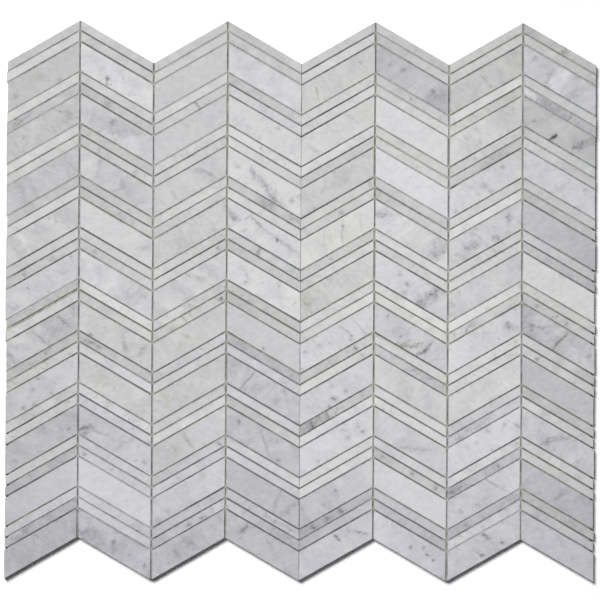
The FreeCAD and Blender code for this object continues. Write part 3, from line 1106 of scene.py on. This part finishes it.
def woven_yarns(node, run, side):
    """Flat oval yarns along the axis run (0 or 1), going over and under the yarns that cross them.

    side is 1 or -1, opposite for warp and weft, so that one is over where the other is under.
    """
    boxes = [(points.min(0), points.max(0)) for points in solids_of(node)]
    cross = 1 - run
    centres = np.array([(low[cross] + high[cross]) / 2 for low, high in boxes])
    pitch = np.diff(np.unique(centres.round(6))).min()
    thickness = boxes[0][1][2] - boxes[0][0][2]
    middle = (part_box("mesh_weft_yarns")[0].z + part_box("mesh_warp_yarns")[1].z) / 2
    turns = np.linspace(0, 2 * math.pi, YARN_SIDES, endpoint=False)
    parts = []
    for number, (low, high) in enumerate(boxes):
        draw = np.random.default_rng([SEED, YARNS + run, number])
        count = max(3, round((high[run] - low[run]) / (pitch / 2)) + 1)
        place = np.linspace(low[run], high[run], count)
        lane = round(centres[number] / pitch)
        wave = side * WEAVE_SHARE * thickness * np.cos(math.pi * (place / pitch + lane))
        wander = YARN_WANDER * smooth_noise(draw, count, YARN_WANDER_STEPS)
        half_width = (high[cross] - low[cross]) / 2
        rings = np.zeros((count, YARN_SIDES, 3))
        rings[:, :, run] = place[:, None]
        rings[:, :, cross] = centres[number] + wander[:, None] + half_width * np.cos(turns)[None, :]
        rings[:, :, 2] = middle + wave[:, None] + thickness / 2 * np.sin(turns)[None, :]
        if run == 1:
            rings = rings[:, ::-1]
        points, faces = stacked_rings(rings)
        straightened = points[:, cross] - np.repeat(wander, YARN_SIDES)
        strand = np.column_stack([points[:, run], straightened, points[:, 2]])
        parts.append((points, faces, {"strand": strand / MM}))
    return parts


# Finishes

class Socket:
    """An output socket that works in sums: each operator adds a Math node to its tree."""

    def __init__(self, finish, output):
        self.finish = finish
        self.output = output

    def __add__(self, other):
        return self.finish.math("ADD", self, other)

    def __radd__(self, other):
        return self.finish.math("ADD", other, self)

    def __sub__(self, other):
        return self.finish.math("SUBTRACT", self, other)

    def __rsub__(self, other):
        return self.finish.math("SUBTRACT", other, self)

    def __mul__(self, other):
        return self.finish.math("MULTIPLY", self, other)

    def __rmul__(self, other):
        return self.finish.math("MULTIPLY", other, self)

    def __abs__(self):
        return self.finish.math("ABSOLUTE", self, 0)


class Finish:
    """The nodes of a material or of the sky."""

    def __init__(self, owner):
        owner.use_nodes = True
        self.owner = owner
        self.tree = owner.node_tree
        self.tree.nodes.clear()

    def node(self, kind, settings=None, sockets=None, output=0):
        """Adds a node, sets it, fills its sockets with values or links, and gives one of its outputs."""
        node = self.tree.nodes.new(kind)
        for name, value in (settings or {}).items():
            setattr(node, name, value)
        for name, value in (sockets or {}).items():
            if isinstance(value, Socket):
                self.tree.links.new(value.output, node.inputs[name])
            else:
                node.inputs[name].default_value = value
        return Socket(self, node.outputs[output]) if node.outputs else None

    def math(self, operation, first, second):
        return self.node("ShaderNodeMath", {"operation": operation}, {0: first, 1: second})

    def value(self, name):
        """A number that the mesh holds at its points."""
        return self.node("ShaderNodeAttribute", {"attribute_name": name}, output="Fac")

    def vector(self, name):
        """A vector that the mesh holds at its points."""
        return self.node("ShaderNodeAttribute", {"attribute_name": name}, output="Vector")

    def part(self, vector, axis):
        """One number of a vector."""
        return self.node("ShaderNodeSeparateXYZ", None, {0: vector}, output=axis)

    def stretch(self, vector, factors, offset=(0, 0, 0)):
        """A vector times factors, axis by axis, and moved by an offset."""
        sockets = {0: vector, 1: factors, 2: offset}
        return self.node("ShaderNodeVectorMath", {"operation": "MULTIPLY_ADD"}, sockets)

    def noise(self, vector, scale, detail=2.0, roughness=0.5, distortion=0.0):
        sockets = {
            "Vector": vector, "Scale": scale, "Detail": detail, "Roughness": roughness,
            "Distortion": distortion,
        }
        return self.node("ShaderNodeTexNoise", None, sockets)

    def ragged(self, vector, scale, reach):
        """A vector that wanders about 0, by a reach in X and one in Y."""
        sockets = {"Vector": vector, "Scale": scale, "Detail": 2.0, "Roughness": 0.5}
        wander = self.node("ShaderNodeTexNoise", None, sockets, output="Color")
        return self.stretch(wander, (2 * reach[0], 2 * reach[1], 0), (-reach[0], -reach[1], 0))

    def step(self, value, low, high):
        """0 below low and 1 above high, with a soft rise between them."""
        sockets = {"Value": value, "From Min": low, "From Max": high}
        return self.node("ShaderNodeMapRange", {"interpolation_type": "SMOOTHSTEP"}, sockets)

    def limit(self, value, low, high):
        return self.node("ShaderNodeClamp", None, {"Value": value, "Min": low, "Max": high})

    def mix(self, share, first, second):
        """Colour between first, at share 0, and second, at share 1, and on beyond them."""
        settings = {"data_type": "RGBA", "clamp_factor": False}
        return self.node("ShaderNodeMix", settings, {0: share, 6: first, 7: second}, output=2)

    def tint(self, share, colour, filter_colour):
        """A colour seen through a filter, in full at share 1."""
        settings = {"data_type": "RGBA", "blend_type": "MULTIPLY"}
        return self.node("ShaderNodeMix", settings, {0: share, 6: colour, 7: filter_colour}, output=2)

    def bump(self, height, strength, distance):
        sockets = {"Strength": strength, "Distance": distance, "Height": height}
        return self.node("ShaderNodeBump", None, sockets)

    def surface(self, sockets):
        """Closes a material with one shader."""
        shader = self.node("ShaderNodeBsdfPrincipled", None, sockets)
        self.node("ShaderNodeOutputMaterial", None, {"Surface": shader})
        return self.owner


def new_finish(name):
    return Finish(bpy.data.materials.new(name))


def placed_marks(finish, name, slab):
    """Sum of a chip's marks, each bent, even along its length and with a blurred, ragged rim."""
    bend = finish.ragged(slab, 0.20, (0.6, 2.0))
    fray = finish.ragged(slab, 0.8, (0.4, 0.9))
    wander = finish.node("ShaderNodeVectorMath", {"operation": "ADD"}, {0: bend, 1: fray})
    patches = finish.step(finish.noise(slab, 0.7, 2.0, 0.6), 0.30, 0.70)
    total = 0
    for slot in range(1, MARK_SLOTS[name] + 1):
        mark = finish.vector(f"{name}_{slot}")
        place = finish.stretch(mark, (1, 1, 0), wander)
        lengthwise = finish.part(place, "X")
        sideways = finish.part(place, "Y")
        even = lengthwise * lengthwise
        distance = finish.math("SQRT", even * even + sideways * sideways, 0)
        core = finish.step(distance, 1.5, 0.0)
        haze = finish.step(distance, 3.0, 0.4)
        total = (core * 0.68 + haze * 0.18) * finish.part(mark, "Z") + total
    darker = finish.math("MAXIMUM", total, 0)
    paler = finish.math("MINIMUM", total, 0)
    return darker * (0.65 + patches * 0.68) + paler


def marble_finish():
    """Honed white marble with grey bedding, lilac smoke, veins, a few ochre stains and bruised edges."""
    finish = new_finish("honed_marble")
    slab = finish.vector("slab")
    cloud = finish.noise(slab, 0.10, 3.0, 0.55) - 0.5
    mottle = finish.noise(finish.stretch(slab, (0.55, 0.30, 0.30)), 1.0, 4.0, 0.6) - 0.5
    grain = finish.noise(slab, 2.6, 2.0, 0.6) - 0.5
    band = finish.noise(finish.stretch(slab, (0.17, 0.02, 0.02)), 1.0, 2.0, 0.5, 0.3) - 0.5
    line = finish.noise(finish.stretch(slab, (0.60, 0.05, 0.05), (40, 9, 0)), 1.0, 3.0, 0.6, 0.3) - 0.5
    fleck_field = finish.noise(finish.stretch(slab, (0.42, 0.26, 0.26), (31, 7, 0)), 1.0, 2.0, 0.5, 0.3)
    flecks = finish.step(fleck_field, 0.58, 0.78) * finish.value("flecks")
    smoke_marks = placed_marks(finish, "smoke", slab)
    stains = placed_marks(finish, "stain", slab)
    bruised = finish.value("bruised") * (0.6 + mottle * 2.0)
    shade = finish.value("shade") + cloud * finish.value("cloud") * 0.55 + mottle * 0.30 + grain * 0.10
    broken = finish.step(finish.noise(slab, 0.16, 2.0), 0.40, 0.62)
    shade = shade + (band * 0.42 + line * broken * 0.36) * finish.value("streaks")
    vein_field = finish.noise(finish.stretch(slab, (0.30, 0.16, 0.16), (3, 60, 0)), 1.0, 3.0, 0.55, 0.8)
    wisps = finish.step(abs(vein_field - 0.5), 0.07, 0.0) * broken
    shade = shade + wisps * finish.value("cloud") * 0.13
    shade = finish.limit(shade + flecks + smoke_marks + stains * 0.16 + bruised * 0.07, -0.08, 1.38)
    lilac = finish.limit(finish.value("lilac") + cloud * 0.7 + smoke_marks * 0.25, 0.0, 1.0)
    clear = finish.mix(lilac, CREAM_STONE, LILAC_STONE)
    smoky = finish.mix(lilac, CREAM_SMOKE, LILAC_SMOKE)
    stone = finish.mix(shade, clear, smoky)
    return finish.surface({
        "Base Color": finish.tint(finish.limit(stains, 0.0, 1.0), stone, OCHRE_STAIN),
        "Roughness": 0.52 + mottle * 0.25 + bruised * 0.15,
        "Specular IOR Level": 0.25,
        "Normal": finish.bump(grain + mottle, 0.25, 0.01 * MM),
    })


def adhesive_finish():
    """Set tile adhesive, olive to slate: painted shade makes it darker low in a joint, and it is a lighter
    tan where it comes up near the face.
    """
    finish = new_finish("joint_adhesive")
    place = finish.node("ShaderNodeNewGeometry", output="Position")
    crumbs = finish.noise(place, 900.0, 3.0, 0.6)
    patches = finish.noise(place, 160.0, 2.0, 0.5) - 0.5
    warmth = finish.limit(finish.value("warmth") + patches * 0.4, 0.0, 1.3)
    # Painted shade: the colour low in a joint is a darker copy of the one near the face
    shaded_deep_colour = finish.mix(warmth, SHADED_DEEP_SLATE, SHADED_DEEP_OLIVE)
    near_face_colour = finish.mix(warmth, NEAR_FACE_SLATE, NEAR_FACE_OLIVE)
    # Share of the colour near the face, by depth; lower down the painted shade takes over
    up = finish.step(finish.value("depth") + patches * 1.2 + crumbs * 0.4, 2.6, 0.6)
    return finish.surface({
        "Base Color": finish.mix(up, shaded_deep_colour, near_face_colour),
        "Roughness": 0.75 + crumbs * 0.3,
        "Specular IOR Level": 0.2,
        "Normal": finish.bump(crumbs, 0.6, 0.1 * MM),
    })


def yarn_finish():
    """Coated glass-fibre yarn: fine filaments along it in painted lit and shaded colours, some of them
    darker where soaked with adhesive.
    """
    finish = new_finish("mesh_yarn")
    strand = finish.vector("strand")
    filaments = finish.noise(finish.stretch(strand, (0.25, 14.0, 14.0)), 1.0, 3.0, 0.6)
    soaked = finish.step(finish.noise(strand, 0.12, 3.0, 0.6), 0.42, 0.66)
    # Painted light and shade: each yarn colour is a lit and a shaded copy, mixed along the filaments
    dry_yarn = finish.mix(filaments, DRY_YARN_SHADED, DRY_YARN_LIT)
    soaked_yarn = finish.mix(filaments, SOAKED_YARN_SHADED, SOAKED_YARN_LIT)
    return finish.surface({
        "Base Color": finish.mix(soaked, dry_yarn, soaked_yarn),
        "Roughness": 0.45 + filaments * 0.3,
        "Specular IOR Level": 0.4,
        "Normal": finish.bump(filaments, 0.7, 0.05 * MM),
    })


def seen_directly(finish):
    """1 for rays from the camera and for those that a mirror or glass sends on, and 0 for light."""
    rays = ("Is Camera Ray", "Is Glossy Ray", "Is Transmission Ray")
    camera, mirror, glass = [finish.node("ShaderNodeLightPath", output=ray) for ray in rays]
    return finish.limit(camera + mirror + glass, 0.0, 1.0)


def floor_finish():
    """White floor that shows the sheet's shadow, and throws back a little less light than it shows."""
    finish = new_finish("white_floor")
    colour = finish.mix(seen_directly(finish), FLOOR_THROWN_BACK, FLOOR_SEEN)
    return finish.surface({"Base Color": colour, "Roughness": 1.0, "Specular IOR Level": 0.0})


# The sheet

marble = marble_finish()
adhesive = adhesive_finish()
yarn = yarn_finish()

columns = [column_chips(column) for column in range(1, COLUMNS + 1)]
for number, chips in enumerate(columns, 1):
    fields = [chip_part(chip) for chip in chips if chip.kind == "field"]
    strips = [chip_part(chip) for chip in chips if chip.kind != "field"]
    make_piece(f"column_{number}_field_marble", fields, marble, [f"column_{number}_field_chips"])
    make_piece(f"column_{number}_strip_marble", strips, marble, [f"column_{number}_strip_chips"])

slanted = []
for chips in columns:
    for joint, (upper, lower) in enumerate(zip(chips, chips[1:])):
        slanted.append(slanted_bead(upper, lower, joint))
make_piece("slanted_joint_adhesive", slanted, adhesive, [])

upright = []
for number, (left, right) in enumerate(zip(columns, columns[1:])):
    upright.append(upright_bead(left, right, number))
make_piece("upright_joint_adhesive", upright, adhesive, [])

make_piece("woven_warp_yarns", woven_yarns("mesh_warp_yarns", 1, 1), yarn, ["mesh_warp_yarns"])
make_piece("woven_weft_yarns", woven_yarns("mesh_weft_yarns", 0, -1), yarn, ["mesh_weft_yarns"])


# Floor, light and camera

def lay_floor():
    reach = HALF_FLOOR
    corners = [(-reach, -reach, 0), (reach, -reach, 0), (reach, reach, 0), (-reach, reach, 0)]
    mesh = bpy.data.meshes.new("floor")
    mesh.from_pydata(corners, [], [(0, 1, 2, 3)])
    mesh.materials.append(floor_finish())
    floor = bpy.data.objects.new("floor", mesh)
    bpy.context.scene.collection.objects.link(floor)


def hang_lamp():
    lamp = bpy.data.lights.new("overhead_lamp", "SUN")
    way = Vector((*SHADOW_PER_HEIGHT, -1)).normalized()
    lamp.energy = LAMP_LEVEL * math.pi / -way.z
    lamp.angle = LAMP_SPREAD
    holder = bpy.data.objects.new("overhead_lamp", lamp)
    holder.rotation_euler = way.to_track_quat("-Z", "Y").to_euler()
    bpy.context.scene.collection.objects.link(holder)


def light_sky():
    sky = bpy.data.worlds.new("sky")
    finish = Finish(sky)
    strength = SKY_LEVEL + (1 - SKY_LEVEL) * seen_directly(finish)
    background = finish.node("ShaderNodeBackground", None, {"Color": (1, 1, 1, 1), "Strength": strength})
    finish.node("ShaderNodeOutputWorld", None, {"Surface": background})
    bpy.context.scene.world = sky


def set_camera():
    face = cad_box[1].z
    camera = bpy.data.cameras.new("camera")
    camera.sensor_width = SENSOR_WIDTH
    camera.lens = SENSOR_WIDTH / 2 * CAMERA_HEIGHT / HALF_VIEW
    camera.clip_end = 2 * CAMERA_HEIGHT
    holder = bpy.data.objects.new("camera", camera)
    holder.location = (AIM_X, AIM_Y, face + CAMERA_HEIGHT)
    holder.rotation_euler = (0, 0, CAMERA_ROLL)
    bpy.context.scene.collection.objects.link(holder)
    bpy.context.scene.camera = holder


lay_floor()
hang_lamp()
light_sky()
set_camera()
bpy.context.scene.view_settings.view_transform = "Standard"
